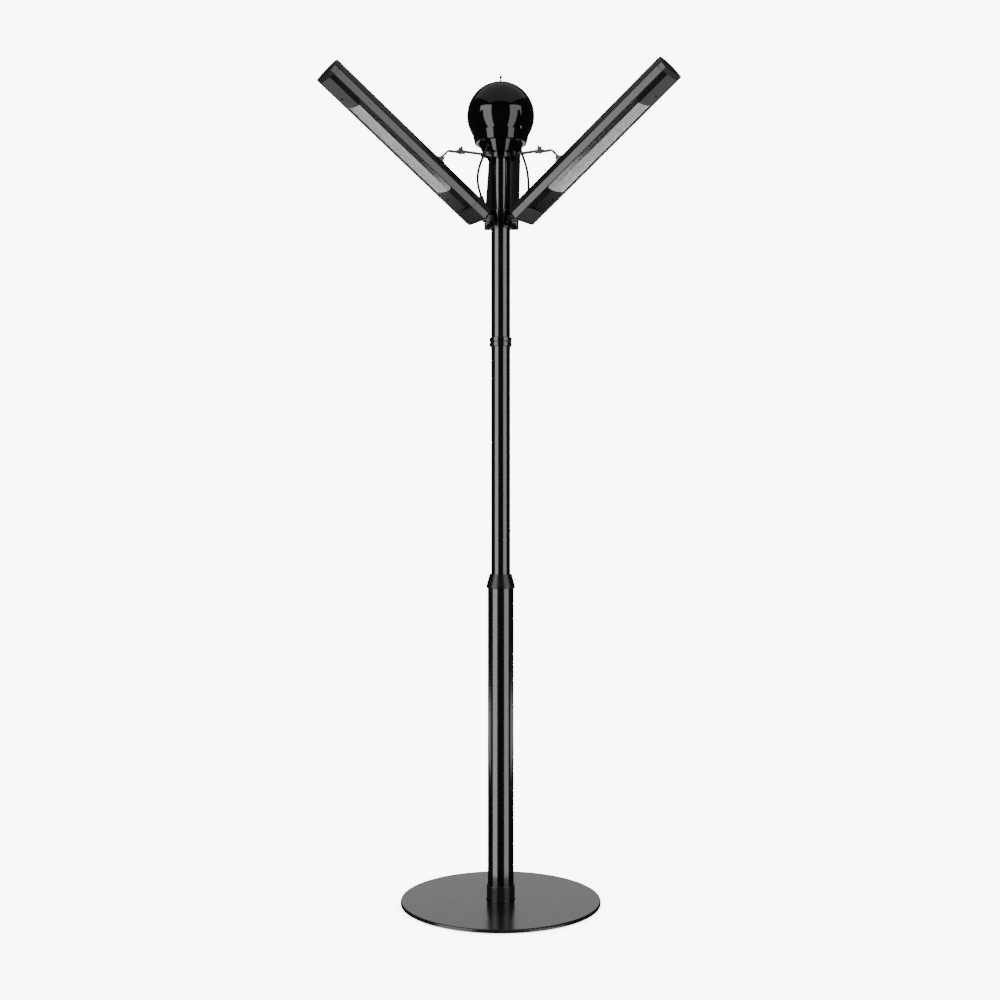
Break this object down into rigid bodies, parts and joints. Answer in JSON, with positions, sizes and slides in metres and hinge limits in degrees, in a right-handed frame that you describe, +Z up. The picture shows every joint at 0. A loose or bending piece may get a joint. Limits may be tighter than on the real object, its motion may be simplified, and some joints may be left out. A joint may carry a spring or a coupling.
{
  "type": "outdoor heater",
  "caption": "Free-standing electric outdoor heater with a round base, telescopic pole, ball-shaped wiring housing and slim tilting radiant heads.",
  "frame": {"origin": "centre of the round base on the floor, on the pole's axis", "axes": "+Z up along the pole; one of the three heads points close to +Y, the other two towards the front left and front right"},
  "size_m": [0.8595, 0.7567, 2.0707],
  "materials": {
    "rubber_pad": "matte",
    "powder_coat": "semi-gloss dark powder coat",
    "gloss_black": "glossy black paint",
    "bolt_steel": "zinc plated",
    "pin_steel": "satin",
    "stay_steel": "satin grey",
    "screw_steel": "nickel plated",
    "bush_plastic": "natural",
    "black_plastic": "fine grain",
    "collar_plastic": "satin black",
    "shell_paint": "fine-textured dark paint",
    "cap_paint": "satin dark brown-grey",
    "plate_paint": "satin grey",
    "grille_steel": "bright",
    "reflector_aluminium": "polished",
    "quartz": "clear",
    "ceramic": "matte white",
    "lead_rubber": "black sheath",
    "gland_plastic": "black"
  },
  "bodies": {
    "base": {"base_pad": "rubber_pad", "base_plate": "powder_coat", "base_socket": "powder_coat", "base_bolts": "bolt_steel", "lower_tube": "powder_coat", "mains_gland": "gland_plastic", "guide_bush": "bush_plastic", "clamp_ring": "bush_plastic"},
    "lock_collar": {"lock_collar": "collar_plastic"},
    "mast": {"middle_tube": "powder_coat", "end_guide": "black_plastic", "joint_coupling": "powder_coat", "upper_tube": "powder_coat", "hub_collar": "powder_coat", "hub_cone": "gloss_black", "ball_cup": "gloss_black", "ball_dome": "gloss_black", "finial": "gloss_black", "terminal_block": "ceramic", "hinge_pins": "pin_steel", "lead_glands": "gland_plastic", "rear_lead": "lead_rubber", "left_lead": "lead_rubber", "right_lead": "lead_rubber"},
    "rear_head": {"rear_shell": "shell_paint", "rear_lower_cap": "cap_paint", "rear_upper_cap": "cap_paint", "rear_front_plate": "plate_paint", "rear_grille": "grille_steel", "rear_reflector": "reflector_aluminium", "rear_heater_tube": "quartz", "rear_tube_holders": "ceramic", "rear_stay_bracket": "stay_steel"},
    "rear_hub_stay": {"rear_hub_stay": "stay_steel"},
    "rear_head_stay": {"rear_head_stay": "stay_steel"},
    "rear_wing_screw": {"rear_wing_screw": "screw_steel"},
    "left_head": {"left_shell": "shell_paint", "left_lower_cap": "cap_paint", "left_upper_cap": "cap_paint", "left_front_plate": "plate_paint", "left_grille": "grille_steel", "left_reflector": "reflector_aluminium", "left_heater_tube": "quartz", "left_tube_holders": "ceramic", "left_stay_bracket": "stay_steel"},
    "left_hub_stay": {"left_hub_stay": "stay_steel"},
    "left_head_stay": {"left_head_stay": "stay_steel"},
    "left_wing_screw": {"left_wing_screw": "screw_steel"},
    "right_head": {"right_shell": "shell_paint", "right_lower_cap": "cap_paint", "right_upper_cap": "cap_paint", "right_front_plate": "plate_paint", "right_grille": "grille_steel", "right_reflector": "reflector_aluminium", "right_heater_tube": "quartz", "right_tube_holders": "ceramic", "right_stay_bracket": "stay_steel"},
    "right_hub_stay": {"right_hub_stay": "stay_steel"},
    "right_head_stay": {"right_head_stay": "stay_steel"},
    "right_wing_screw": {"right_wing_screw": "screw_steel"}
  },
  "joints": [
    {"name": "collar_turn", "type": "hinge", "parent": "base", "child": "lock_collar", "pos_m": [0, 0, 0.8], "axis": [0, 0, 1], "range_deg": [0, 120]},
    {"name": "mast_slide", "type": "slide", "parent": "base", "child": "mast", "axis": [0, 0, 1], "range_m": [-0.45, 0]},
    {"name": "rear_tilt", "type": "hinge", "parent": "mast", "child": "rear_head", "pos_m": [0.00116, 0.04138, 1.70803], "axis": [0.9996, -0.0279, 0], "range_deg": [0, 12], "deforming": ["rear_lead"]},
    {"name": "rear_hub_stay_swing", "type": "hinge", "parent": "mast", "child": "rear_hub_stay", "pos_m": [0.00126, 0.04498, 1.8676], "axis": [0.9996, -0.0279, 0], "range_deg": [0, 14.73]},
    {"name": "rear_head_stay_swing", "type": "hinge", "parent": "rear_head", "child": "rear_head_stay", "pos_m": [0.00469, 0.16791, 1.84198], "axis": [0.9996, -0.0279, 0], "range_deg": [0, 2.73]},
    {"name": "rear_wing_screw_turn", "type": "hinge", "parent": "rear_head_stay", "child": "rear_wing_screw", "pos_m": [0.00313, 0.11196, 1.8676], "axis": [0, 0, 1], "continuous": true},
    {"name": "left_tilt", "type": "hinge", "parent": "mast", "child": "left_head", "pos_m": [-0.03641, -0.01969, 1.70803], "axis": [-0.4756, 0.8796, 0], "range_deg": [0, 12], "deforming": ["left_lead"]},
    {"name": "left_hub_stay_swing", "type": "hinge", "parent": "mast", "child": "left_hub_stay", "pos_m": [-0.03958, -0.0214, 1.8676], "axis": [-0.4756, 0.8796, 0], "range_deg": [0, 14.73]},
    {"name": "left_head_stay_swing", "type": "hinge", "parent": "left_head", "child": "left_head_stay", "pos_m": [-0.14776, -0.07989, 1.84198], "axis": [-0.4756, 0.8796, 0], "range_deg": [0, 2.73]},
    {"name": "left_wing_screw_turn", "type": "hinge", "parent": "left_head_stay", "child": "left_wing_screw", "pos_m": [-0.09852, -0.05327, 1.8676], "axis": [0, 0, 1], "continuous": true},
    {"name": "right_tilt", "type": "hinge", "parent": "mast", "child": "right_head", "pos_m": [0.03526, -0.02169, 1.70803], "axis": [-0.524, -0.8517, 0], "range_deg": [0, 12], "deforming": ["right_lead"]},
    {"name": "right_hub_stay_swing", "type": "hinge", "parent": "mast", "child": "right_hub_stay", "pos_m": [0.03833, -0.02358, 1.8676], "axis": [-0.524, -0.8517, 0], "range_deg": [0, 14.73]},
    {"name": "right_head_stay_swing", "type": "hinge", "parent": "right_head", "child": "right_head_stay", "pos_m": [0.14307, -0.08802, 1.84198], "axis": [-0.524, -0.8517, 0], "range_deg": [0, 2.73]},
    {"name": "right_wing_screw_turn", "type": "hinge", "parent": "right_head_stay", "child": "right_wing_screw", "pos_m": [0.09539, -0.05869, 1.8676], "axis": [0, 0, 1], "continuous": true}
  ],
  "couplings": [
    {"joint": "rear_hub_stay_swing", "follows": "rear_tilt", "ratio": 1.2264},
    {"joint": "rear_head_stay_swing", "follows": "rear_tilt", "ratio": 0.2264},
    {"joint": "left_hub_stay_swing", "follows": "left_tilt", "ratio": 1.2264},
    {"joint": "left_head_stay_swing", "follows": "left_tilt", "ratio": 0.2264},
    {"joint": "right_hub_stay_swing", "follows": "right_tilt", "ratio": 1.2264},
    {"joint": "right_head_stay_swing", "follows": "right_tilt", "ratio": 0.2264}
  ]
}
